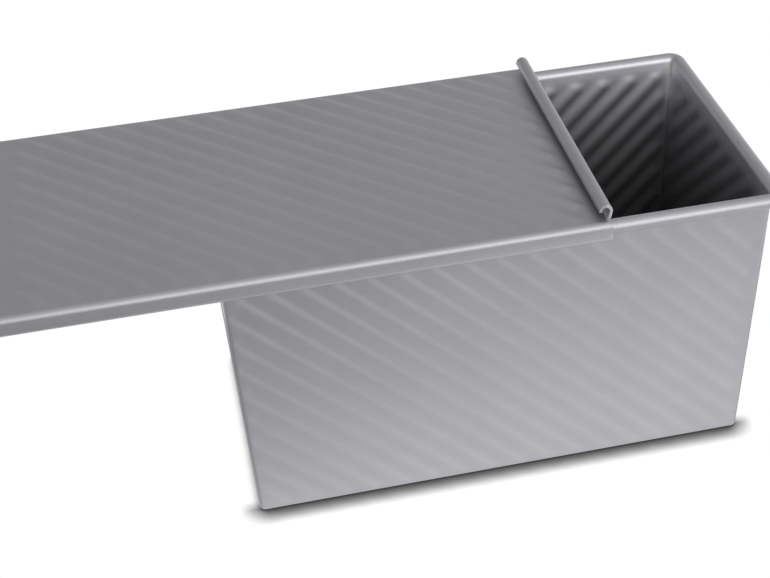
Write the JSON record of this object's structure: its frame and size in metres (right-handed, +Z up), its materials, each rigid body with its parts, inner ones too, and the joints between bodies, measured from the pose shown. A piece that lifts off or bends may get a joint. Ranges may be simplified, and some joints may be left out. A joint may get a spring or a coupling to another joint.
{
  "type": "pullman loaf pan",
  "caption": "Rectangular sheet-metal loaf pan with ribbed panels, a rim rolled round a wire, and a ribbed lid that slides along the rim in side channels, with a curled grip.",
  "frame": {"origin": "centre of the tub's underside, on the flat between two base ribs", "axes": "+X along the pan, from the side the lid slides off to the side that the picture shows open; +Y across it, to the far long wall; +Z up"},
  "size_m": [0.2782, 0.118, 0.1201],
  "materials": {
    "coated_sheet": "satin silver-grey coating",
    "rim_steel": "drawn wire, hidden in the rolled rim",
    "lid_sheet": "satin silver-grey coating"
  },
  "bodies": {
    "pan": {"pan_body": "coated_sheet", "rim_wire": "rim_steel"},
    "lid": {"lid": "lid_sheet"}
  },
  "joints": [
    {"name": "lid_slide", "type": "slide", "parent": "pan", "child": "lid", "axis": [1, 0, 0], "range_m": [-0.145, 0.0698]}
  ]
}
